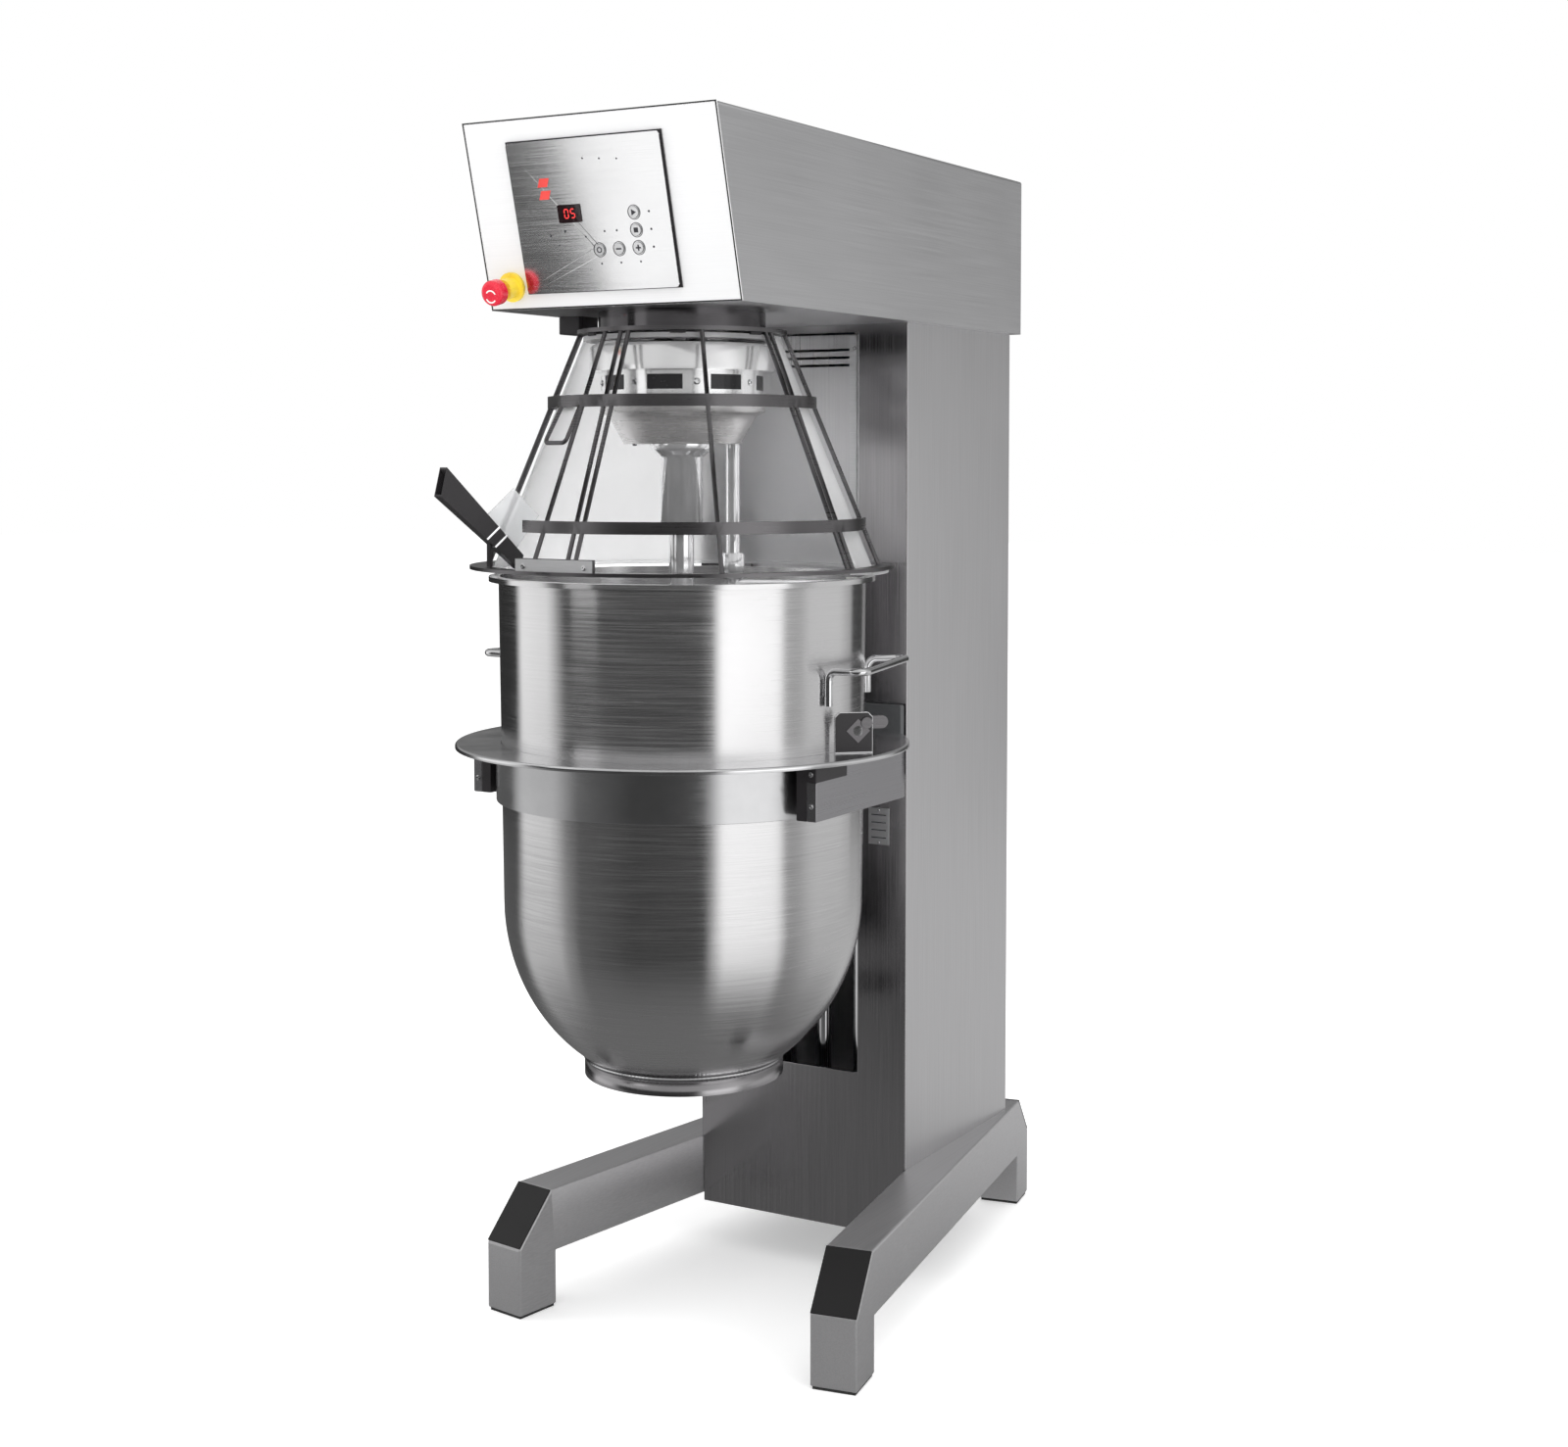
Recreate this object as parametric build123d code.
from build123d import *
import math
import os

# Commercial planetary stand mixer with a lifting bowl.
# Millimetres, +Z up, +X to the machine's right as seen from the front, and the front faces -Y.
# Everything is drawn about the bowl's axis, then moved so that the origin is under the middle of the
# machine's bounding box.

# ---- driving dimensions -------------------------------------------------------------------------
# Bowl (140-litre class)
BOWL_R = 267.0
BOWL_LOWER_R = 262.0
BOWL_WALL = 2.0
BOWL_RIM_Z = 1136.0
BOWL_STRAIGHT_Z = 665.0
BOWL_DOME_HEIGHT = 279.0
BOWL_BEAD = 14.0
FOOT_RING_R = 145.0
FOOT_RING_BOTTOM_Z = 405.0
FOOT_RING_TOP_Z = 437.0
FLANGE_R = 331.0
FLANGE_Z = 888.0
FLANGE_THICK = 7.0
HOOP_BAND = 7.5
HOOP_BOTTOM_Z = 812.0

# Yoke and lift
ARM_X = 275.5
ARM_THICK = 15.0
ARM_FRONT_Y = -122.0
ARM_REAR_Y = 333.0
CROSS_PLATE_THICK = 12.0
CROSS_PLATE_HALF_WIDTH = 187.0
CROSS_PLATE_TOP_Z = 923.0
ARM_TURN_Y = 150.0
ARM_TURN_R = 40.0
HANDLE_LEGS = (80.5, 125.0)
LUG_AT = (289.0, -13.0)
LUG_FACES = 42.0
LUG_HALF_WIDTH = 27.0
LUG_THICK = 6.0
LUG_HEIGHT = 57.0
LUG_HOLE = (6.0, 31.0)
LUG_HOLE_R = 7.0
LATCH_PIN = (18.0, 42.0)
LATCH_PIN_R = 5.0
PAD_LENGTH = 88.0
PAD_HEIGHT = 22.0
LIFT_TRAVEL = 300.0
ROD_X = 70.0
ROD_Y = 430.0
ROD_R = 15.0
SCREW_R = 12.0
CARRIAGE_BOTTOM_Z = 790.0
CARRIAGE_HEIGHT = 150.0

# Head
HEAD_HALF_WIDTH = 208.0
HEAD_TOP_Z = 1771.0
HEAD_BOTTOM_Z = 1515.0
HEAD_FRONT_TOP_Y = -243.0
HEAD_FRONT_BOTTOM_Y = -177.0
HEAD_REAR_Y = 735.0
SHEET = 2.5
BASE_PLATE_THICK = 10.0

# Control panel, measured on the tilted front face from its middle and from its lower edge
PANEL_LEFT = -136.0
PANEL_RIGHT = 116.0
PANEL_LOW = 23.0
PANEL_HIGH = 232.0
PANEL_THICK = 6.0
DISPLAY_CENTRE = (-45.0, 131.0)
DISPLAY_SIZE = (38.0, 25.0)
BUTTON_R = 8.0
BUTTON_PROUD = 1.5
BUTTON_PLACES = [(60.0, 127.0), (60.0, 103.0), (60.0, 79.0), (28.0, 79.0), (-4.0, 79.0)]
ESTOP_PLACE = (-165.0, 33.0)
ESTOP_R = 18.0
ESTOP_LENGTH = 54.0

# Column
COLUMN_HALF_WIDTH = 188.0
COLUMN_FRONT_Y = 350.0
COLUMN_REAR_Y = 735.0
COLUMN_BOTTOM_Z = 75.0
COLUMN_SHEET = 3.0
SLOT_HALF_WIDTH = 103.0
SLOT_BOTTOM_Z = 329.0
REAR_COVER_LOW_Z = 450.0
REAR_COVER_HIGH_Z = 1470.0
REAR_COVER_BULGE = 12.0
SLOT_PANEL_LOW_Z = 960.0
SLOT_PANEL_Y = 372.0

# Legs
LEG_SPLAY = 8.9
LEG_WIDTH = 70.0
LEG_TOP_Z = 184.0
LEG_UNDER_Z = 87.0
LEG_FRONT = (286.0, -64.0)
LEG_LENGTH = 925.0
FRONT_FOOT_DEPTH = 78.0
REAR_FOOT_DEPTH = 65.0
LEG_CHAMFER_Z = 108.0
LEG_CHAMFER_RUN = 68.0
FOOT_PAD = 4.0
CAP_THICK = 2.0

# Planetary drive
ECCENTRIC = 42.0
TOOL_AZIMUTH = 30.0
SCRAPER_AZIMUTH = 120.0
GEAR_MODULE = 3.0
RING_TEETH = 52
PINION_TEETH = 24
GEAR_BACKLASH = 0.35
GEAR_LOW_Z = 1474.0
GEAR_HEIGHT = 22.0
HOUSING_R = 121.0
HOUSING_LOW_Z = 1472.0
HOUSING_TOP_Z = 1600.0
CARRIER_RING_R = 134.0
CARRIER_RING_TOP_Z = 1468.0
CARRIER_RING_LOW_Z = 1430.0
CONE_BOTTOM_Z = 1326.0
MAIN_SHAFT_R = 25.0
TOOL_SHAFT_R = 31.0
TOOL_SHANK_R = 18.0
BEATER_R = 200.0
PULLEY_LOW_Z = 1612.0
PULLEY_HEIGHT = 36.0
DRIVEN_PULLEY_R = 110.0
MOTOR_PULLEY_R = 40.0
MOTOR_Y = 620.0
MOTOR_R = 85.0
BELT_THICK = 8.0
RUNNING_GAP = 0.3
SHAFT_CLEARANCE = 0.05

# Bowl guard
GUARD_TOP_Z = 1486.0
GUARD_TOP_R = 147.0
GUARD_BOTTOM_Z = 1141.0
GUARD_BOTTOM_R = 289.0
DOOR_RING_Z = 1147.0
DOOR_RING_R = 308.0
DOOR_START = -89.0
DOOR_STOP = 122.0
SHIELD_TOP_Z = 1478.0
SHIELD_TOP_R = 142.0
SHIELD_BOTTOM_R = 277.0
SHIELD_RING_R = 300.0
SHIELD_SHEET = 3.0
SHIELD_START = 95.0
SHIELD_STOP = 300.0
WIRE_R = 3.2
WIRE_PAIR_HALF_GAP = 6.5
UPPER_BAND_Z = 1385.0
LOWER_BAND_Z = 1211.0
BAND_HEIGHT = 17.0
BAND_THICK = 4.0
DOOR_WIRE_PAIRS = [-62.0, 0.0, 87.0, 119.0]
DOOR_SINGLE_WIRES = [-14.0, 43.0]
LOWER_BAND_START = -24.0
CHUTE_AZIMUTH = -40.0
CHUTE_LOW = (244.0, 1158.0)
CHUTE_LOW_SIZE = (40.0, 22.0)
CHUTE_TOP = (355.0, 1272.0)
CHUTE_TOP_SIZE = (50.0, 42.0)
CHUTE_MOUTH_TILT = 12.0
CHUTE_WALL = 3.0
DOOR_PLATE_AZIMUTH = -3.0


# ---- small helpers --------------------------------------------------------------------------------
def block(x_range, y_range, z_range):
    """A box between two values on each axis."""
    size = [high - low for low, high in (x_range, y_range, z_range)]
    centre = [(low + high) / 2 for low, high in (x_range, y_range, z_range)]
    return Pos(*centre) * Box(*size)


def disc(radius, z_low, z_high, at=(0.0, 0.0)):
    """An upright cylinder between two heights."""
    return Pos(at[0], at[1], (z_low + z_high) / 2) * Cylinder(radius, z_high - z_low)


def ring(outer, inner, z_low, z_high, at=(0.0, 0.0)):
    """An upright tube between two heights."""
    return disc(outer, z_low, z_high, at) - disc(inner, z_low - 1, z_high + 1, at)


def bar(start, end, radius):
    """A straight round bar between two points."""
    run = Vector(*end) - Vector(*start)
    place = Plane(origin=start, z_dir=run)
    return place * Pos(0, 0, run.length / 2) * Cylinder(radius, run.length)


def bent_rod(points, bend, radius):
    """A round rod along straight runs with rounded corners."""
    path = FilletPolyline(*points, radius=bend)
    return sweep(Plane(origin=path @ 0, z_dir=path % 0) * Circle(radius), path=path)


def turned(points):
    """A solid of revolution about Z from (radius, height) points."""
    profile = make_face(Polyline(*points, close=True))
    return revolve(Plane.XZ * profile, Axis.Z, 360)


def polar(radius, azimuth, height=None):
    """A point at a radius and an azimuth, counted from the front towards +X."""
    angle = math.radians(azimuth)
    flat = (radius * math.sin(angle), -radius * math.cos(angle))
    return flat if height is None else (flat[0], flat[1], height)


def mirrored(shape):
    return mirror(shape, about=Plane.YZ)


TOOL_XY = polar(ECCENTRIC, TOOL_AZIMUTH)


# ---- column and legs ------------------------------------------------------------------------------
def column_front():
    plate_y = (COLUMN_FRONT_Y, COLUMN_FRONT_Y + COLUMN_SHEET)
    plate = block((-COLUMN_HALF_WIDTH, COLUMN_HALF_WIDTH), plate_y, (LEG_TOP_Z, HEAD_BOTTOM_Z))
    apron_half = leg_inner_x(COLUMN_FRONT_Y) - 1
    plate += block((-apron_half, apron_half), plate_y, (COLUMN_BOTTOM_Z, LEG_TOP_Z))
    slot_x = (-SLOT_HALF_WIDTH, SLOT_HALF_WIDTH)
    slot_y = (plate_y[0] - 1, plate_y[1] + 1)
    plate -= block(slot_x, slot_y, (SLOT_BOTTOM_Z, HEAD_BOTTOM_Z - 12))
    lip_y = (plate_y[1], plate_y[1] + 14)
    lip_z = (SLOT_BOTTOM_Z, HEAD_BOTTOM_Z - 12)
    plate += block((SLOT_HALF_WIDTH, SLOT_HALF_WIDTH + COLUMN_SHEET), lip_y, lip_z)
    plate += block((-SLOT_HALF_WIDTH - COLUMN_SHEET, -SLOT_HALF_WIDTH), lip_y, lip_z)
    return plate


def column_side_right():
    low_y = COLUMN_FRONT_Y + COLUMN_SHEET
    side = block((COLUMN_HALF_WIDTH - COLUMN_SHEET, COLUMN_HALF_WIDTH), (low_y, COLUMN_REAR_Y),
                 (LEG_TOP_Z, HEAD_BOTTOM_Z))
    side += block((COLUMN_HALF_WIDTH - 30, COLUMN_HALF_WIDTH), (COLUMN_REAR_Y - COLUMN_SHEET, COLUMN_REAR_Y),
                  (LEG_TOP_Z, HEAD_BOTTOM_Z))
    return side


def column_rear_cover():
    inner_half = COLUMN_HALF_WIDTH - 31
    cover = block((-inner_half, inner_half), (COLUMN_REAR_Y - COLUMN_SHEET, COLUMN_REAR_Y),
                  (LEG_TOP_Z, HEAD_BOTTOM_Z))
    bulge_x = COLUMN_HALF_WIDTH - 2
    outside = block((-bulge_x, bulge_x), (COLUMN_REAR_Y, COLUMN_REAR_Y + REAR_COVER_BULGE),
                    (REAR_COVER_LOW_Z, REAR_COVER_HIGH_Z))
    rear_face = outside.faces().sort_by(Axis.Y)[-1]
    outside = chamfer(rear_face.edges(), REAR_COVER_BULGE - 4)
    return cover + outside


def column_base():
    front = leg_inner_x(COLUMN_FRONT_Y + COLUMN_SHEET) - 1
    rear = leg_inner_x(COLUMN_REAR_Y) - 1
    outline = make_face(Polyline((-front, COLUMN_FRONT_Y + COLUMN_SHEET), (front, COLUMN_FRONT_Y + COLUMN_SHEET),
                                 (rear, COLUMN_REAR_Y), (-rear, COLUMN_REAR_Y), close=True))
    floor_plate = Pos(0, 0, COLUMN_BOTTOM_Z) * extrude(outline, 8)
    rear_wall = block((-rear, rear), (COLUMN_REAR_Y - COLUMN_SHEET, COLUMN_REAR_Y),
                      (COLUMN_BOTTOM_Z, LEG_TOP_Z))
    return floor_plate + rear_wall


def slot_panel():
    panel = block((-SLOT_HALF_WIDTH + 1, SLOT_HALF_WIDTH - 1), (SLOT_PANEL_Y, SLOT_PANEL_Y + COLUMN_SHEET),
                  (SLOT_PANEL_LOW_Z, HEAD_BOTTOM_Z - 14))
    for row in range(3):
        slit_z = HEAD_BOTTOM_Z - 40 - 12 * row
        panel -= block((-45, 75), (SLOT_PANEL_Y - 1, SLOT_PANEL_Y + 5), (slit_z, slit_z + 4))
    return panel


def leg_inner_x(y):
    """Half the clear width between the legs at a given Y."""
    splay = math.radians(LEG_SPLAY)
    centre = LEG_FRONT[0] - (y - LEG_FRONT[1]) * math.tan(splay)
    return centre - LEG_WIDTH / 2 / math.cos(splay)


def on_leg(profile_points, width, x_offset=0.0):
    """Draws a side profile (distance from the front end, height) and gives it a width across the leg."""
    profile = make_face(Polyline(*profile_points, close=True))
    solid = extrude(Plane.YZ * profile, width / 2, both=True)
    place = Pos(LEG_FRONT[0], LEG_FRONT[1], 0) * Rot(0, 0, LEG_SPLAY) * Pos(x_offset, 0, 0)
    return place * solid


def leg_right():
    length = LEG_LENGTH
    outline = [(0, FOOT_PAD), (0, LEG_CHAMFER_Z), (LEG_CHAMFER_RUN, LEG_TOP_Z), (length - 60, LEG_TOP_Z),
               (length, LEG_CHAMFER_Z + 8), (length, FOOT_PAD), (length - REAR_FOOT_DEPTH, FOOT_PAD),
               (length - REAR_FOOT_DEPTH, LEG_UNDER_Z), (FRONT_FOOT_DEPTH, LEG_UNDER_Z),
               (FRONT_FOOT_DEPTH, FOOT_PAD)]
    return on_leg(outline, LEG_WIDTH)


def cap_outline(start, end, inset):
    """A thin strip laid on a sloping top edge from start to end."""
    run = Vector(end[0] - start[0], end[1] - start[1])
    out = Vector(-run.Y, run.X).normalized() * CAP_THICK
    if out.Y < 0:
        out = out * -1
    step = run.normalized() * inset
    a = (start[0] + step.X, start[1] + step.Y)
    b = (end[0] - step.X, end[1] - step.Y)
    return [a, b, (b[0] + out.X, b[1] + out.Y), (a[0] + out.X, a[1] + out.Y)]


def leg_caps():
    front = cap_outline((0, LEG_CHAMFER_Z), (LEG_CHAMFER_RUN, LEG_TOP_Z), 1)
    rear = cap_outline((LEG_LENGTH - 60, LEG_TOP_Z), (LEG_LENGTH, LEG_CHAMFER_Z + 8), 1)
    right = [on_leg(front, LEG_WIDTH - 1), on_leg(rear, LEG_WIDTH - 1)]
    return Compound(right + [mirrored(cap) for cap in right])


def foot_pads():
    front = [(3, 0), (FRONT_FOOT_DEPTH - 3, 0), (FRONT_FOOT_DEPTH - 3, FOOT_PAD), (3, FOOT_PAD)]
    rear_start = LEG_LENGTH - REAR_FOOT_DEPTH + 3
    rear = [(rear_start, 0), (LEG_LENGTH - 3, 0), (LEG_LENGTH - 3, FOOT_PAD), (rear_start, FOOT_PAD)]
    right = [on_leg(front, LEG_WIDTH - 6), on_leg(rear, LEG_WIDTH - 6)]
    return Compound(right + [mirrored(pad) for pad in right])


# ---- head -----------------------------------------------------------------------------------------
FACE_RISE = HEAD_TOP_Z - HEAD_BOTTOM_Z
FACE_LEAN = HEAD_FRONT_TOP_Y - HEAD_FRONT_BOTTOM_Y
FACE_UP = Vector(0, FACE_LEAN, FACE_RISE).normalized()
FACE_OUT = FACE_UP.cross(Vector(1, 0, 0)) * -1
FACE_PLANE = Plane(origin=(0, HEAD_FRONT_BOTTOM_Y, HEAD_BOTTOM_Z), x_dir=(1, 0, 0), z_dir=FACE_OUT)


def head_block(inset, open_bottom):
    """The head's outer shape, pulled in by inset on every side but, if asked, not at the bottom."""
    low = HEAD_BOTTOM_Z - 5 if open_bottom else HEAD_BOTTOM_Z
    lean = FACE_LEAN / FACE_RISE
    front_low = HEAD_FRONT_BOTTOM_Y + lean * (low - HEAD_BOTTOM_Z) + inset
    top = HEAD_TOP_Z - inset
    front_high = HEAD_FRONT_BOTTOM_Y + lean * (top - HEAD_BOTTOM_Z) + inset
    outline = make_face(Polyline((front_low, low), (front_high, top), (HEAD_REAR_Y - inset, top),
                                 (HEAD_REAR_Y - inset, low), close=True))
    return extrude(Plane.YZ * outline, HEAD_HALF_WIDTH - inset, both=True)


def front_slab(thickness):
    """A slab just behind the tilted front face."""
    return FACE_PLANE * Pos(0, 150, -thickness / 2) * Box(600, 500, thickness)


def head_shell():
    outer = head_block(0, False)
    corner_edges = outer.edges().filter_by(Axis.Y).group_by(Axis.Z)[-1]
    outer = fillet(corner_edges, 5)
    return outer - head_block(SHEET, True) - front_slab(SHEET + 0.4)


def head_front_panel():
    panel = head_block(0, False) & front_slab(SHEET)
    hole = FACE_PLANE * Pos(ESTOP_PLACE[0], ESTOP_PLACE[1], 0) * Cylinder(11, 20)
    return panel - hole


def head_base_plate():
    low = HEAD_BOTTOM_Z
    plate = block((-HEAD_HALF_WIDTH + SHEET + 0.5, HEAD_HALF_WIDTH - SHEET - 0.5),
                  (HEAD_FRONT_BOTTOM_Y + 8, HEAD_REAR_Y - SHEET - 0.5), (low, low + BASE_PLATE_THICK))
    plate -= disc(79, low - 1, low + BASE_PLATE_THICK + 1)
    plate -= disc(30, low - 1, low + BASE_PLATE_THICK + 1, (0, MOTOR_Y))
    return plate


def on_face(place, depth_low, depth_high, shape_face):
    """Extrudes a flat outline between two distances out from the head's front face."""
    start = FACE_PLANE * Pos(place[0], place[1], depth_low)
    return start * extrude(shape_face, depth_high - depth_low)


def control_panel():
    width = PANEL_RIGHT - PANEL_LEFT
    height = PANEL_HIGH - PANEL_LOW
    centre = ((PANEL_LEFT + PANEL_RIGHT) / 2, (PANEL_LOW + PANEL_HIGH) / 2)
    plate = on_face(centre, 0, PANEL_THICK, RectangleRounded(width, height, 5))
    for place in BUTTON_PLACES:
        plate -= on_face(place, -1, PANEL_THICK + 1, Circle(BUTTON_R + RUNNING_GAP))
    return plate


def display_window():
    return on_face(DISPLAY_CENTRE, PANEL_THICK, PANEL_THICK + 1.2, RectangleRounded(*DISPLAY_SIZE, 2))


def panel_button(place):
    cap = on_face(place, 1.8, PANEL_THICK + BUTTON_PROUD, Circle(BUTTON_R))
    top = cap.faces().sort_by(Axis(FACE_PLANE.origin, FACE_OUT))[-1]
    return fillet(top.edges(), 0.6)


def estop_collar():
    collar = on_face(ESTOP_PLACE, 0, 5, Circle(21)) + on_face(ESTOP_PLACE, 5, 26, Circle(15))
    thread = on_face(ESTOP_PLACE, -34, 0, Circle(10.8))
    nut = on_face(ESTOP_PLACE, -9, -SHEET, RegularPolygon(17, 6))
    return collar + thread + nut - on_face(ESTOP_PLACE, -20, 27, Circle(8.05))


def estop_button():
    stem = on_face(ESTOP_PLACE, -12, 35, Circle(8))
    neck = on_face(ESTOP_PLACE, 33, 38, Circle(12))
    head = on_face(ESTOP_PLACE, 37, ESTOP_LENGTH, Circle(ESTOP_R))
    top = head.faces().sort_by(Axis(FACE_PLANE.origin, FACE_OUT))[-1]
    head = fillet(top.edges(), 6)
    return stem + neck + head


def cable_gland():
    """The mains inlet's gland, low on the column's rear."""
    centre_y = COLUMN_REAR_Y
    gland = Pos(110, centre_y + 9, 300) * Rot(90, 0, 0) * Cylinder(13, 18)
    gland += Pos(110, centre_y + 3, 300) * Rot(90, 0, 0) * extrude(RegularPolygon(19, 6), 3, both=True)
    return gland - Pos(110, centre_y + 9, 300) * Rot(90, 0, 0) * Cylinder(6, 60)


# ---- drive train ----------------------------------------------------------------------------------
def gear_outline(teeth, addendum, dedendum, widen):
    """An involute gear's outline with one tooth centred on +X; widen thickens each tooth."""
    pitch_r = GEAR_MODULE * teeth / 2
    base_r = pitch_r * math.cos(math.radians(20))
    tip_r = pitch_r + addendum
    root_r = pitch_r - dedendum
    half_at_pitch = (math.pi * GEAR_MODULE / 2 + widen) / 2 / pitch_r
    pitch_involute = math.tan(math.radians(20)) - math.radians(20)

    def half_angle(radius):
        pressure = math.acos(min(1.0, base_r / max(radius, base_r)))
        return half_at_pitch + pitch_involute - (math.tan(pressure) - pressure)

    steps = 6
    radii = [root_r + (tip_r - root_r) * step / steps for step in range(steps + 1)]
    points = []
    for tooth in range(teeth):
        middle = 2 * math.pi * tooth / teeth
        for radius in radii:
            angle = middle - half_angle(radius)
            points.append((radius * math.cos(angle), radius * math.sin(angle)))
        for radius in reversed(radii):
            angle = middle + half_angle(radius)
            points.append((radius * math.cos(angle), radius * math.sin(angle)))
    return make_face(Polyline(*points, close=True))


def gear_turn():
    """The direction from the bowl's axis to the tool's axis, in degrees from +X."""
    return TOOL_AZIMUTH - 90


def ring_gear():
    cutter_face = gear_outline(RING_TEETH, 1.25 * GEAR_MODULE, 0.8 * GEAR_MODULE, GEAR_BACKLASH)
    cutter = Pos(0, 0, GEAR_LOW_Z - 1) * Rot(0, 0, gear_turn()) * extrude(cutter_face, GEAR_HEIGHT + 2)
    return disc(96, GEAR_LOW_Z, GEAR_LOW_Z + GEAR_HEIGHT) - cutter


def planet_pinion():
    face = gear_outline(PINION_TEETH, 0.8 * GEAR_MODULE, 1.15 * GEAR_MODULE, -GEAR_BACKLASH)
    place = Pos(TOOL_XY[0], TOOL_XY[1], GEAR_LOW_Z + 1) * Rot(0, 0, gear_turn())
    blank = place * extrude(face, GEAR_HEIGHT - 2)
    return blank - disc(18, GEAR_LOW_Z, GEAR_LOW_Z + GEAR_HEIGHT, TOOL_XY)


def bearing_housing():
    return turned([(96, HOUSING_LOW_Z), (HOUSING_R, HOUSING_LOW_Z), (HOUSING_R, HEAD_BOTTOM_Z),
                   (78, HEAD_BOTTOM_Z), (78, HOUSING_TOP_Z), (45, HOUSING_TOP_Z), (45, 1509), (96, 1509)])


def main_bearings():
    low = ring(45, MAIN_SHAFT_R + SHAFT_CLEARANCE, 1512, 1534)
    high = ring(45, MAIN_SHAFT_R + SHAFT_CLEARANCE, 1574, 1596)
    return Compound([low, high])


def main_shaft():
    return disc(MAIN_SHAFT_R, 1506, PULLEY_LOW_Z + PULLEY_HEIGHT + 8)


def carrier_drum():
    """The turning drum, with a web beside the pinion that reaches the plate under the main shaft."""
    drum = turned([(0, 1396), (117, 1396), (117, CARRIER_RING_LOW_Z), (CARRIER_RING_R, CARRIER_RING_LOW_Z),
                   (CARRIER_RING_R, CARRIER_RING_TOP_Z - 4), (CARRIER_RING_R - 4, CARRIER_RING_TOP_Z),
                   (0, CARRIER_RING_TOP_Z)])
    web = disc(72, CARRIER_RING_TOP_Z, 1499) - disc(42, CARRIER_RING_TOP_Z, 1500, TOOL_XY)
    top_plate = disc(72, 1499, 1506)
    bore = disc(18 + SHAFT_CLEARANCE, 1390, 1499, TOOL_XY)
    return (drum + web + top_plate) - bore


def carrier_cone():
    cone = turned([(0, CONE_BOTTOM_Z), (85, CONE_BOTTOM_Z), (107, 1366), (120, 1372), (120, 1396), (0, 1396)])
    bore = disc(18 + SHAFT_CLEARANCE, CONE_BOTTOM_Z - 1, 1400, TOOL_XY)
    rod_hole_xy = polar(73, SCRAPER_AZIMUTH)
    return cone - bore - disc(10, CONE_BOTTOM_Z - 1, CONE_BOTTOM_Z + 40, rod_hole_xy)


def driven_pulley():
    high = PULLEY_LOW_Z + PULLEY_HEIGHT
    pulley = ring(DRIVEN_PULLEY_R, MAIN_SHAFT_R, PULLEY_LOW_Z, high)
    pulley -= ring(DRIVEN_PULLEY_R - 14, 44, PULLEY_LOW_Z - 1, PULLEY_LOW_Z + 10)
    pulley -= ring(DRIVEN_PULLEY_R - 14, 44, high - 10, high + 1)
    return pulley


def scraper_rod():
    x, y = polar(73, SCRAPER_AZIMUTH)
    rod = disc(10, 1122, CONE_BOTTOM_Z + 40, (x, y))
    clamp = disc(17, 1130, 1168, (x, y))
    clamp = chamfer(clamp.edges(), 2)
    inner = polar(73, SCRAPER_AZIMUTH, 1120)
    outer = polar(240, SCRAPER_AZIMUTH, 1120)
    return rod + clamp + bar(inner, outer, 9)


def scraper_blade():
    """A nylon blade along the bowl's wall, held at its top by the scraper arm."""
    outline = make_face(Polyline((241, 1110), (258, 1110), (258, 700), (254, 640), (246, 590), (228, 600),
                                 (232, 660), (236, 720), (236, 1110), close=True))
    blade = extrude(Plane.XZ * outline, 5, both=True)
    head = Pos(246, 0, 1120) * Box(16, 22, 24)
    placed = Rot(0, 0, SCRAPER_AZIMUTH - 90) * (blade + head)
    return placed - bar(polar(200, SCRAPER_AZIMUTH, 1120), polar(240, SCRAPER_AZIMUTH, 1120), 9)


def tool_shaft():
    shaft = turned([(0, 1090), (TOOL_SHANK_R, 1090), (TOOL_SHANK_R, 1197), (TOOL_SHAFT_R - 3, 1197),
                    (TOOL_SHAFT_R, 1200),
                    (TOOL_SHAFT_R, 1306), (46, 1320), (46, CONE_BOTTOM_Z - RUNNING_GAP),
                    (18, CONE_BOTTOM_Z - RUNNING_GAP), (18, 1496), (0, 1496)])
    return Pos(TOOL_XY[0], TOOL_XY[1], 0) * shaft


def tool_coupling():
    """The bayonet socket at the shaft's end, which the tool's pin locks into."""
    socket = ring(27, TOOL_SHANK_R, 1090, 1120, TOOL_XY)
    slot = Pos(TOOL_XY[0], TOOL_XY[1], 1096) * Box(70, 10, 20)
    return socket - slot


def beater_outline(inset):
    """Half of the flat beater's frame, following the bowl's wall; inset gives the inner edge."""
    corners = [(BEATER_R, 1010), (BEATER_R, 650), (184, 565), (150, 500), (96, 442)]
    outer = [(28, 1080), (150, 1052)] + corners + [(0, 432)]
    if inset:
        outer = [(16, 1046), (132, 1020), (BEATER_R - 30, 992), (BEATER_R - 30, 655), (157, 580),
                 (128, 522), (82, 472), (0, 462)]
    return outer


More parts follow.
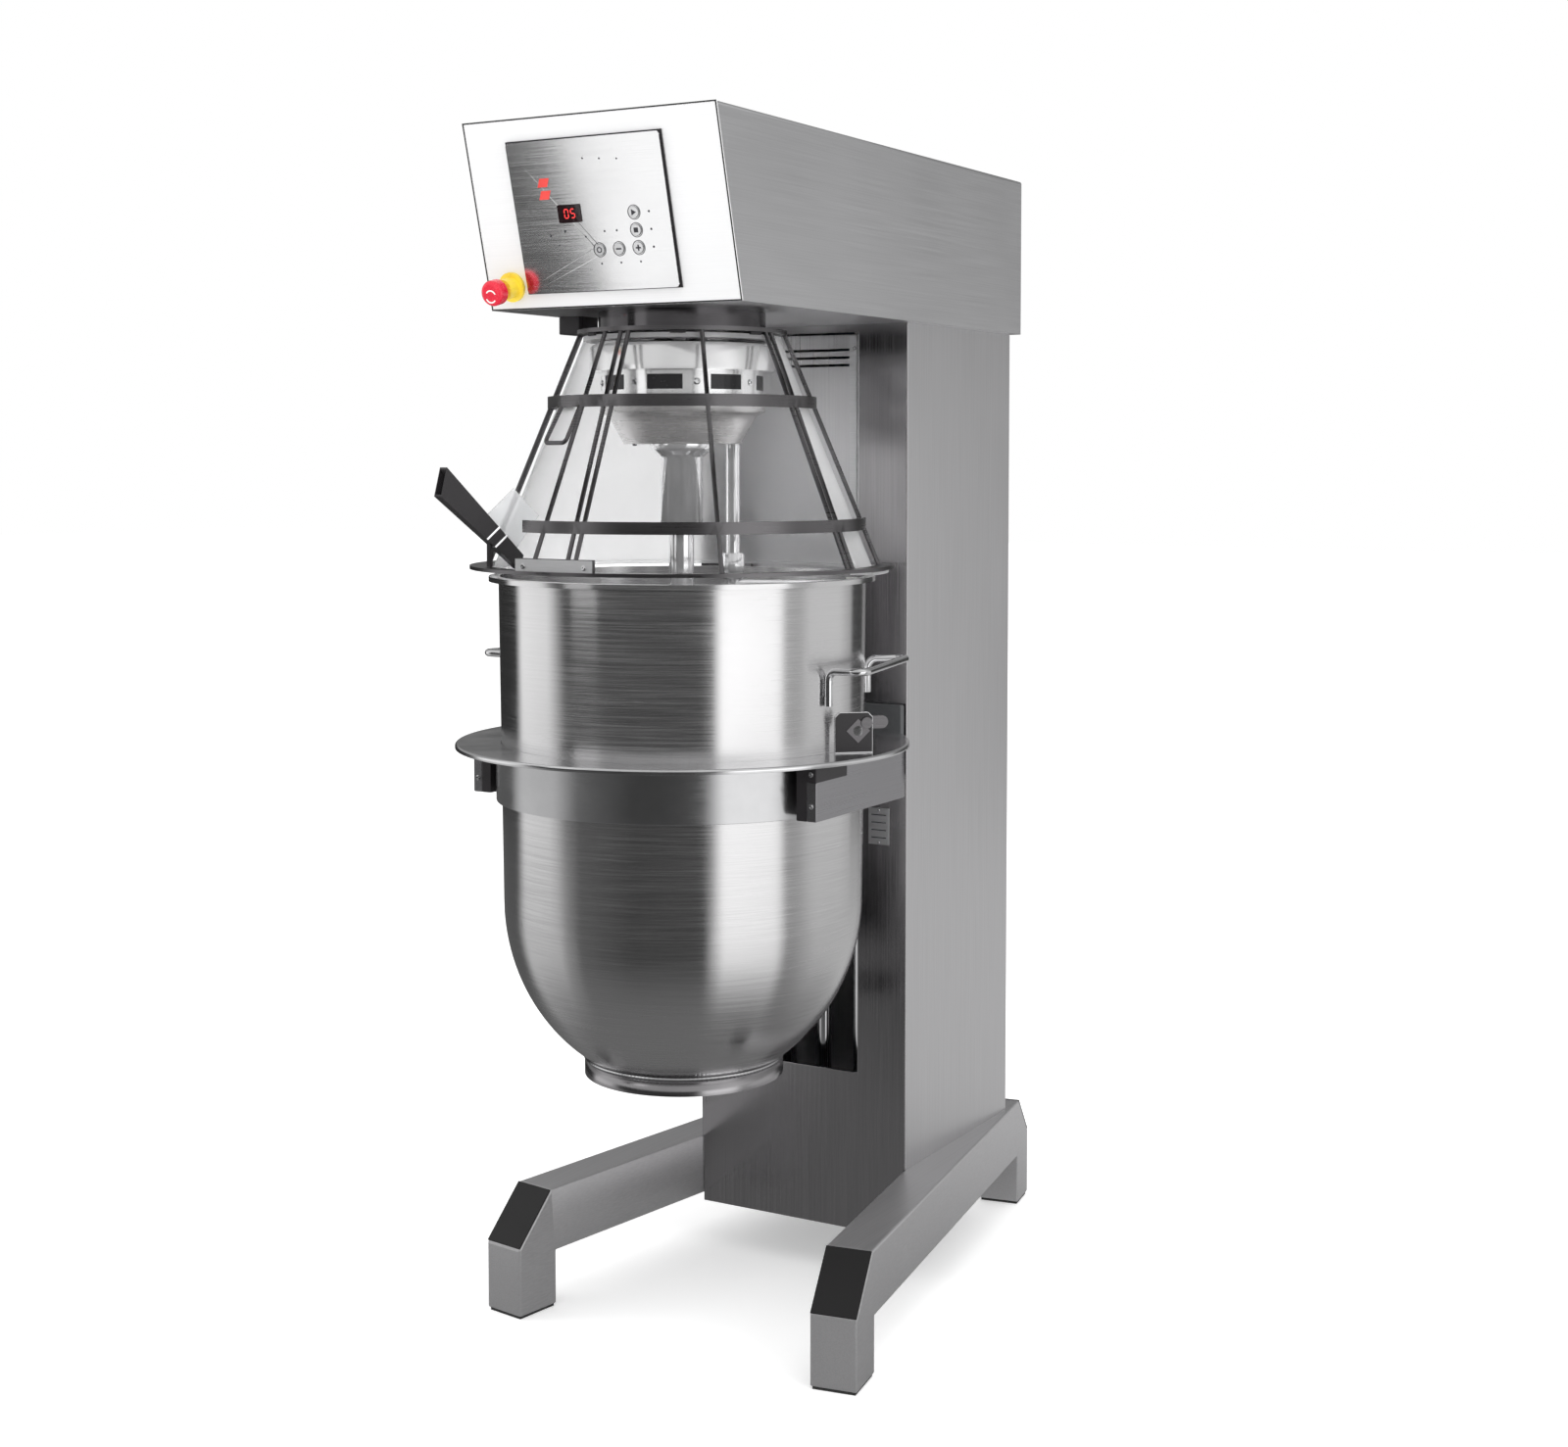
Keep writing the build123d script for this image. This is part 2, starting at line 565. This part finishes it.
def flat_beater():
    half = beater_outline(False)
    frame_points = half + [(-x, z) for x, z in reversed(half[:-1])]
    inner_half = beater_outline(True)
    window_points = inner_half + [(-x, z) for x, z in reversed(inner_half[:-1])]
    frame = extrude(Plane.XZ * make_face(Polyline(*frame_points, close=True)), 9, both=True)
    window = extrude(Plane.XZ * make_face(Polyline(*window_points, close=True)), 20, both=True)
    beater = frame - window
    beater += block((-13, 13), (-9, 9), (455, 1055))
    for height, half_length in ((560, 150), (700, 178), (850, 178)):
        rail = block((-half_length, half_length), (-8, 8), (height, height + 22))
        beater += rail
    beater += disc(24, 1040, 1090)
    pin = Pos(0, 0, 1080) * Rot(0, 90, 0) * Cylinder(4, 50)
    placed = Rot(0, 0, TOOL_AZIMUTH) * (beater + pin)
    return Pos(TOOL_XY[0], TOOL_XY[1], 0) * placed


def motor_body():
    low = HEAD_BOTTOM_Z - 250
    body = disc(MOTOR_R, low, HEAD_BOTTOM_Z - 12, (0, MOTOR_Y))
    flange = disc(MOTOR_R + 12, HEAD_BOTTOM_Z - 12, HEAD_BOTTOM_Z, (0, MOTOR_Y))
    for index in range(20):
        angle = 18.0 * index
        slot = Pos(0, MOTOR_Y, low + 120) * Rot(0, 0, angle) * Pos(MOTOR_R, 0, 0) * Box(14, 8, 190)
        body -= slot
    bore = disc(14 + SHAFT_CLEARANCE, low + 40, HEAD_BOTTOM_Z + 1, (0, MOTOR_Y))
    return body + flange - bore


def rotor_shaft():
    return disc(14, HEAD_BOTTOM_Z - 200, PULLEY_LOW_Z + PULLEY_HEIGHT + 5, (0, MOTOR_Y))


def motor_pulley():
    return ring(MOTOR_PULLEY_R, 14, PULLEY_LOW_Z, PULLEY_LOW_Z + PULLEY_HEIGHT, (0, MOTOR_Y))


def belt_loop(extra):
    """The area inside a belt line that lies extra millimetres outside both pulleys."""
    big = DRIVEN_PULLEY_R + extra
    small = MOTOR_PULLEY_R + extra
    lean = math.asin((big - small) / MOTOR_Y)
    big_side = (big * math.cos(lean), big * math.sin(lean))
    small_side = (small * math.cos(lean), MOTOR_Y + small * math.sin(lean))
    middle = make_face(Polyline(big_side, small_side, (-small_side[0], small_side[1]),
                                (-big_side[0], big_side[1]), close=True))
    return middle + Circle(big) + Pos(0, MOTOR_Y) * Circle(small)


def drive_belt():
    height = PULLEY_HEIGHT - 6
    outer = extrude(belt_loop(RUNNING_GAP + BELT_THICK), height)
    inner = extrude(belt_loop(RUNNING_GAP), height)
    return Pos(0, 0, PULLEY_LOW_Z + 3) * (outer - inner)


# ---- bowl, yoke and lift ----------------------------------------------------------------------------
def dome_points(radius, height, steps, stop_r):
    """Points down the bowl's rounded lower wall, from the straight wall to a stop radius."""
    last = math.acos(stop_r / radius)
    points = []
    for step in range(1, steps + 1):
        angle = last * step / steps
        points.append((radius * math.cos(angle), BOWL_STRAIGHT_Z - height * math.sin(angle)))
    return points


def bowl():
    outer_dome = [(BOWL_LOWER_R, BOWL_STRAIGHT_Z)] + dome_points(BOWL_LOWER_R, BOWL_DOME_HEIGHT, 9, FOOT_RING_R)
    inner_r = BOWL_LOWER_R - BOWL_WALL
    inner_dome = [(inner_r, BOWL_STRAIGHT_Z)]
    inner_dome += dome_points(inner_r, BOWL_DOME_HEIGHT - BOWL_WALL, 9, FOOT_RING_R - BOWL_WALL)
    bottom_z = outer_dome[-1][1] - 12
    inner_bottom_z = inner_dome[-1][1] - 12
    bead_low = BOWL_RIM_Z - 7
    lines = [
        Spline(*outer_dome, tangents=[(0, -1), (-1, -0.75)]),
        Spline(outer_dome[-1], (FOOT_RING_R * 0.6, bottom_z + 3), (0, bottom_z), tangents=[(-1, -0.3), (-1, 0)]),
        Line((0, bottom_z), (0, inner_bottom_z)),
        Spline((0, inner_bottom_z), (FOOT_RING_R * 0.6, inner_bottom_z + 3), inner_dome[-1],
               tangents=[(1, 0), (1, 0.3)]),
        Spline(*reversed(inner_dome), tangents=[(1, 0.75), (0, 1)]),
        Polyline((inner_r, BOWL_STRAIGHT_Z), (BOWL_R - BOWL_WALL, BOWL_RIM_Z), (BOWL_R + BOWL_BEAD, BOWL_RIM_Z),
                 (BOWL_R + BOWL_BEAD, bead_low), (BOWL_R + BOWL_BEAD - 2, bead_low),
                 (BOWL_R + BOWL_BEAD - 2, BOWL_RIM_Z - 2), (BOWL_R, BOWL_RIM_Z - 2),
                 (BOWL_LOWER_R, BOWL_STRAIGHT_Z)),
    ]
    return revolve(Plane.XZ * make_face(lines), Axis.Z, 360)


def bowl_wall_r(z):
    """The bowl's outer radius at a height on its straight wall."""
    share = (z - BOWL_STRAIGHT_Z) / (BOWL_RIM_Z - 2 - BOWL_STRAIGHT_Z)
    return BOWL_LOWER_R + (BOWL_R - BOWL_LOWER_R) * share


def bowl_foot_ring():
    """The ring welded under the bowl; only the part outside the bowl's wall is kept."""
    cut = ring(FOOT_RING_R + 1, FOOT_RING_R - 2, FOOT_RING_BOTTOM_Z, FOOT_RING_TOP_Z) - bowl()
    return cut.solids().sort_by(SortBy.VOLUME)[-1]


def bowl_flange():
    """The flange that rests on the yoke, with the hoop below it and the two lug plates above it."""
    inner = bowl_wall_r(FLANGE_Z + FLANGE_THICK) + 0.2
    hoop_r = inner + HOOP_BAND
    top = FLANGE_Z + FLANGE_THICK
    flange = ring(FLANGE_R, inner, FLANGE_Z, top)
    flange = chamfer(flange.edges().group_by(Axis.Z)[-1].sort_by(SortBy.RADIUS)[-1], 2)
    hoop = ring(hoop_r, inner, HOOP_BOTTOM_Z, FLANGE_Z)
    lug = lug_plate()
    return flange + hoop + lug + mirrored(lug)


def lug_place():
    """The right lug plate's own axes: X along the plate, -Y out of its front, Z up from the flange."""
    return Pos(LUG_AT[0], LUG_AT[1], FLANGE_Z + FLANGE_THICK) * Rot(0, 0, LUG_FACES)


def lug_plate():
    """The upright plate on the flange, turned towards the front, with a lifting hole and a pin hole."""
    half = LUG_THICK / 2
    plate = block((-LUG_HALF_WIDTH, LUG_HALF_WIDTH), (-half, half), (0, LUG_HEIGHT))
    plate = chamfer(plate.edges().filter_by(Axis.Y).group_by(Axis.Z)[-1], 6)
    for place, radius in ((LUG_HOLE, LUG_HOLE_R), (LATCH_PIN, LATCH_PIN_R + SHAFT_CLEARANCE)):
        plate -= Pos(place[0], 0, place[1]) * Rot(90, 0, 0) * Cylinder(radius, 20)
    return lug_place() * plate


def clamp_right():
    """A latch lever behind the lug plate, on a pin through it, with a round grip."""
    along, up = LATCH_PIN
    front = -LUG_THICK / 2 - 0.3
    back = LUG_THICK / 2 + 0.5
    lever_thick = 6.0
    head = pin_cylinder(along, up, 8, front - 3, front)
    pin = pin_cylinder(along, up, LATCH_PIN_R, front - 1, back + lever_thick)
    lever = block((along - 9, along + 32), (back, back + lever_thick), (up - 9, up + 9))
    lever = fillet(lever.edges().filter_by(Axis.Y), 8.9)
    grip = pin_cylinder(along + 24, up, 9, back, back + 12)
    return lug_place() * (head + pin + lever + grip)


def pin_cylinder(along, up, radius, y_low, y_high):
    """A cylinder square to the lug plate, between two distances from the plate's middle."""
    return Pos(along, (y_low + y_high) / 2, up) * Rot(90, 0, 0) * Cylinder(radius, y_high - y_low)


def bowl_handle_right():
    rod_r = 5.5
    low_z = 962.0
    grip_r = 332.0
    leg_r = bowl_wall_r(960) + rod_r + 0.3
    points = []
    for azimuth in HANDLE_LEGS:
        leg = [polar(leg_r, azimuth, low_z), polar(leg_r, azimuth, low_z + 49)]
        leg.append(polar(grip_r, azimuth, low_z + 50))
        points += leg if azimuth < 100 else list(reversed(leg))
    handle = bent_rod(points, 14, rod_r)
    for azimuth in HANDLE_LEGS:
        boss = Rot(0, 0, azimuth - 90) * Pos(bowl_wall_r(970) + 2.8, 0, 969) * Box(5, 9, 12)
        handle += boss
    return handle


def bowl_handles():
    right = bowl_handle_right()
    return Compound([right, mirrored(right)])


def yoke_arm_right():
    """A flat bar beside the bowl that turns inwards behind it, to the carriage's cross plate."""
    outer_x = ARM_X + ARM_THICK
    inner_turn_y = ARM_TURN_Y - ARM_THICK * math.tan(math.radians(22.5))
    run = ARM_REAR_Y - ARM_TURN_Y
    inner_run = ARM_REAR_Y - inner_turn_y
    outline = [(ARM_X, ARM_FRONT_Y), (outer_x, ARM_FRONT_Y), (outer_x, ARM_TURN_Y), (outer_x - run, ARM_REAR_Y),
               (ARM_X - inner_run, ARM_REAR_Y), (ARM_X, inner_turn_y)]
    face = make_face(Polyline(*outline, close=True))
    arm = Pos(0, 0, HOOP_BOTTOM_Z) * extrude(face, FLANGE_Z - HOOP_BOTTOM_Z)
    for turn_y, turn_r in ((ARM_TURN_Y, ARM_TURN_R), (inner_turn_y, ARM_TURN_R - ARM_THICK)):
        turn = [edge for edge in arm.edges().filter_by(Axis.Z) if abs(edge.center().Y - turn_y) < 1]
        arm = fillet(turn, turn_r)
    return arm - block((ARM_X - 1, ARM_X + ARM_THICK + 1), (ARM_FRONT_Y - 1, ARM_FRONT_Y + PAD_LENGTH),
                       (FLANGE_Z - PAD_HEIGHT, FLANGE_Z + 1))


def arm_liners():
    """Black nylon pads at each arm's front end: one under the flange and one against the hoop."""
    top = block((ARM_X - 16, ARM_X + ARM_THICK), (ARM_FRONT_Y, ARM_FRONT_Y + 22), (FLANGE_Z - PAD_HEIGHT, FLANGE_Z))
    top += block((ARM_X, ARM_X + ARM_THICK), (ARM_FRONT_Y + 22, ARM_FRONT_Y + PAD_LENGTH),
                 (FLANGE_Z - PAD_HEIGHT, FLANGE_Z))
    inner = block((ARM_X - 16, ARM_X), (ARM_FRONT_Y, ARM_FRONT_Y + 22), (HOOP_BOTTOM_Z, FLANGE_Z - PAD_HEIGHT))
    right = top + inner
    return Compound([right, mirrored(right)])


def lift_carriage():
    """The carriage that runs on the guide rods, with the neck and cross plate that carry the arms."""
    top = CARRIAGE_BOTTOM_Z + CARRIAGE_HEIGHT
    carriage = block((-98, 98), (ROD_Y - 26, ROD_Y + 26), (CARRIAGE_BOTTOM_Z, top))
    carriage += block((-88, 88), (ARM_REAR_Y, ROD_Y - 26), (HOOP_BOTTOM_Z, FLANGE_Z))
    carriage += block((-CROSS_PLATE_HALF_WIDTH, CROSS_PLATE_HALF_WIDTH),
                      (ARM_REAR_Y, ARM_REAR_Y + CROSS_PLATE_THICK), (HOOP_BOTTOM_Z, CROSS_PLATE_TOP_Z))
    for x in (-ROD_X, ROD_X):
        carriage -= disc(ROD_R + 5, CARRIAGE_BOTTOM_Z - 1, top + 1, (x, ROD_Y))
    return carriage - disc(SCREW_R + 9, CARRIAGE_BOTTOM_Z - 1, top + 1, (0, ROD_Y))


def carriage_bushes():
    top = CARRIAGE_BOTTOM_Z + CARRIAGE_HEIGHT
    bushes = []
    for x in (-ROD_X, ROD_X):
        for low in (CARRIAGE_BOTTOM_Z, top - 45):
            bushes.append(ring(ROD_R + 5, ROD_R + SHAFT_CLEARANCE, low, low + 45, (x, ROD_Y)))
    return Compound(bushes)


def lift_nut():
    top = CARRIAGE_BOTTOM_Z + CARRIAGE_HEIGHT
    return ring(SCREW_R + 9, SCREW_R + SHAFT_CLEARANCE, top - 60, top, (0, ROD_Y))


def guide_rods():
    return Compound([disc(ROD_R, 232, HEAD_BOTTOM_Z, (x, ROD_Y)) for x in (-ROD_X, ROD_X)])


def lift_gearmotor():
    """The geared lift motor on the column's floor, with a bearing for the screw and the two rod sockets."""
    base = block((-95, 95), (ROD_Y - 30, ROD_Y + 60), (COLUMN_BOTTOM_Z + 8, 232))
    motor = Pos(0, ROD_Y + 140, 160) * Rot(90, 0, 0) * Cylinder(55, 160)
    return base + motor - disc(SCREW_R + SHAFT_CLEARANCE, 180, 240, (0, ROD_Y))


def lift_screw():
    return disc(SCREW_R, 182, 1240, (0, ROD_Y))


def inverter_box():
    return block((-90, 90), (COLUMN_REAR_Y - 90, COLUMN_REAR_Y - 8), (700, 1020))


# ---- bowl guard ---------------------------------------------------------------------------------------
def front_wire_r(z):
    share = (GUARD_TOP_Z - z) / (GUARD_TOP_Z - GUARD_BOTTOM_Z)
    return GUARD_TOP_R + (GUARD_BOTTOM_R - GUARD_TOP_R) * share


def sector(shape, start, stop):
    """Keeps the part of a ring between two azimuths, going from the front towards +X."""
    gap = 360.0 - (stop - start)
    steps = 6
    outline = [(0, 0)]
    for step in range(steps + 1):
        outline.append(polar(900, stop + gap * step / steps))
    wedge = extrude(make_face(Polyline(*outline, close=True)), 600)
    return shape - Pos(0, 0, 1000) * wedge


def wire(azimuth, side_step):
    """One sloping guard wire, moved sideways by side_step to pair it with its neighbour."""
    angle = math.radians(azimuth)
    step = (side_step * math.cos(angle), side_step * math.sin(angle))
    low_z = DOOR_RING_Z + 2
    low = polar(front_wire_r(low_z), azimuth, low_z)
    high = polar(GUARD_TOP_R, azimuth, GUARD_TOP_Z)
    low = (low[0] + step[0], low[1] + step[1], low[2])
    high = (high[0] + step[0], high[1] + step[1], high[2])
    return bar(low, high, WIRE_R)


def guard_front():
    """The wire door of the guard, which turns about the bowl's axis outside the fixed shield."""
    top_ring = ring(152, 127, GUARD_TOP_Z - 3, GUARD_TOP_Z + 3)
    parts = [sector(top_ring, DOOR_START, DOOR_STOP)]
    for height, start in ((UPPER_BAND_Z, DOOR_START), (LOWER_BAND_Z, LOWER_BAND_START)):
        inner = front_wire_r(height) + WIRE_R - 1
        band = ring(inner + BAND_THICK, inner, height - BAND_HEIGHT / 2, height + BAND_HEIGHT / 2)
        parts.append(sector(band, start, DOOR_STOP))
    low_ring = ring(DOOR_RING_R, 283, DOOR_RING_Z, DOOR_RING_Z + 5)
    parts.append(sector(low_ring, DOOR_START, DOOR_STOP))
    for azimuth in DOOR_WIRE_PAIRS:
        for side_step in (-WIRE_PAIR_HALF_GAP, WIRE_PAIR_HALF_GAP):
            parts.append(wire(azimuth, side_step))
    for azimuth in DOOR_SINGLE_WIRES:
        parts.append(wire(azimuth, 0.0))
    parts.append(door_plate())
    parts.append(guard_loop_handle())
    guard = parts[0]
    for piece in parts[1:]:
        guard += piece
    return guard


def guard_loop_handle():
    """A small bent loop under the upper band, to pull the guard open by."""
    azimuth = -22.0
    top = UPPER_BAND_Z - BAND_HEIGHT / 2 + 2
    bottom = top - 52
    top_radius = front_wire_r(UPPER_BAND_Z) + WIRE_R + 1
    bottom_radius = front_wire_r(bottom) + WIRE_R + 4
    points = [polar(top_radius, azimuth - 7, top), polar(bottom_radius, azimuth - 7, bottom),
              polar(bottom_radius, azimuth + 7, bottom), polar(top_radius, azimuth + 7, top)]
    return bent_rod(points, 8, 3.0)


def door_plate():
    """The upright plate on the front of the door's lower ring."""
    plate = Pos(297, 0, DOOR_RING_Z + 11.5) * Box(4, 134, 22)
    return Rot(0, 0, DOOR_PLATE_AZIMUTH - 90) * plate


def chute_section(at, size, overrun):
    """A rectangle across the chute; the overrun moves it along the chute's sloping line."""
    slope = Vector(CHUTE_TOP[0] - CHUTE_LOW[0], 0, CHUTE_TOP[1] - CHUTE_LOW[1]).normalized()
    tilt = math.radians(CHUTE_MOUTH_TILT)
    origin = (at[0] + slope.X * overrun, 0, at[1] + slope.Z * overrun)
    place = Plane(origin=origin, x_dir=(0, 1, 0), z_dir=(math.cos(tilt), 0, math.sin(tilt)))
    return place * Rectangle(*size)


def feed_chute():
    """The open chute through the guard's wires, with a tab that stands on the door's lower ring."""
    outer = loft([chute_section(CHUTE_LOW, CHUTE_LOW_SIZE, 0), chute_section(CHUTE_TOP, CHUTE_TOP_SIZE, 0)])
    low_bore = [size - 2 * CHUTE_WALL for size in CHUTE_LOW_SIZE]
    top_bore = [size - 2 * CHUTE_WALL for size in CHUTE_TOP_SIZE]
    inner = loft([chute_section(CHUTE_LOW, low_bore, -5), chute_section(CHUTE_TOP, top_bore, 5)])
    tab = block((284, 288), (-10, 10), (DOOR_RING_Z + 5, 1194))
    return Rot(0, 0, CHUTE_AZIMUTH - 90) * (outer + tab - inner)


def guard_rear():
    """The fixed moulded shield round the back, with the full ring that both guards hang from."""
    low = GUARD_BOTTOM_Z
    outline = [(SHIELD_TOP_R, SHIELD_TOP_Z), (SHIELD_BOTTOM_R, low + 4), (SHIELD_RING_R, low + 4),
               (SHIELD_RING_R, low), (SHIELD_BOTTOM_R - 12, low), (SHIELD_BOTTOM_R - 12, low + 4),
               (SHIELD_BOTTOM_R - SHIELD_SHEET, low + 4), (SHIELD_TOP_R - SHIELD_SHEET, SHIELD_TOP_Z)]
    shield = sector(turned(outline), SHIELD_START, SHIELD_STOP)
    return shield + ring(143, HOUSING_R, 1473.5, 1480)


def guard_switch():
    body = block((-204, -162), (-24, 24), (1489, HEAD_BOTTOM_Z))
    return chamfer(body.edges().filter_by(Axis.Z), 4)


# ---- the whole machine ----------------------------------------------------------------------------------
def all_nodes():
    nodes = {
        "column_front": column_front(),
        "column_side_right": column_side_right(),
        "column_side_left": mirrored(column_side_right()),
        "column_rear_cover": column_rear_cover(),
        "column_base": column_base(),
        "slot_panel": slot_panel(),
        "leg_right": leg_right(),
        "leg_left": mirrored(leg_right()),
        "leg_caps": leg_caps(),
        "foot_pads": foot_pads(),
        "head_shell": head_shell(),
        "head_front_panel": head_front_panel(),
        "head_base_plate": head_base_plate(),
        "control_panel": control_panel(),
        "display_window": display_window(),
        "estop_collar": estop_collar(),
        "estop_button": estop_button(),
        "cable_gland": cable_gland(),
        "bearing_housing": bearing_housing(),
        "ring_gear": ring_gear(),
        "main_bearings": main_bearings(),
        "main_shaft": main_shaft(),
        "carrier_drum": carrier_drum(),
        "carrier_cone": carrier_cone(),
        "driven_pulley": driven_pulley(),
        "scraper_rod": scraper_rod(),
        "scraper_blade": scraper_blade(),
        "tool_shaft": tool_shaft(),
        "planet_pinion": planet_pinion(),
        "tool_coupling": tool_coupling(),
        "flat_beater": flat_beater(),
        "motor_body": motor_body(),
        "rotor_shaft": rotor_shaft(),
        "motor_pulley": motor_pulley(),
        "drive_belt": drive_belt(),
        "bowl": bowl(),
        "bowl_foot_ring": bowl_foot_ring(),
        "bowl_flange": bowl_flange(),
        "bowl_handles": bowl_handles(),
        "clamp_right": clamp_right(),
        "clamp_left": mirrored(clamp_right()),
        "yoke_arm_right": yoke_arm_right(),
        "yoke_arm_left": mirrored(yoke_arm_right()),
        "arm_liners": arm_liners(),
        "lift_carriage": lift_carriage(),
        "carriage_bushes": carriage_bushes(),
        "lift_nut": lift_nut(),
        "guide_rods": guide_rods(),
        "lift_gearmotor": lift_gearmotor(),
        "lift_screw": lift_screw(),
        "inverter_box": inverter_box(),
        "guard_front": guard_front(),
        "feed_chute": feed_chute(),
        "guard_rear": guard_rear(),
        "guard_switch": guard_switch(),
    }
    for index, place in enumerate(BUTTON_PLACES, start=1):
        nodes[f"panel_button_{index}"] = panel_button(place)
    return nodes


def main():
    os.makedirs("parts", exist_ok=True)
    nodes = all_nodes()
    boxes = [shape.bounding_box() for shape in nodes.values()]
    low_y = min(box.min.Y for box in boxes)
    high_y = max(box.max.Y for box in boxes)
    bowl_axis_y = -(low_y + high_y) / 2
    print(f"bowl axis at y = {bowl_axis_y:.4f}, depth {high_y - low_y:.1f}")
    for name, shape in nodes.items():
        export_step(Pos(0, bowl_axis_y, 0) * shape, f"parts/{name}.step")


main()
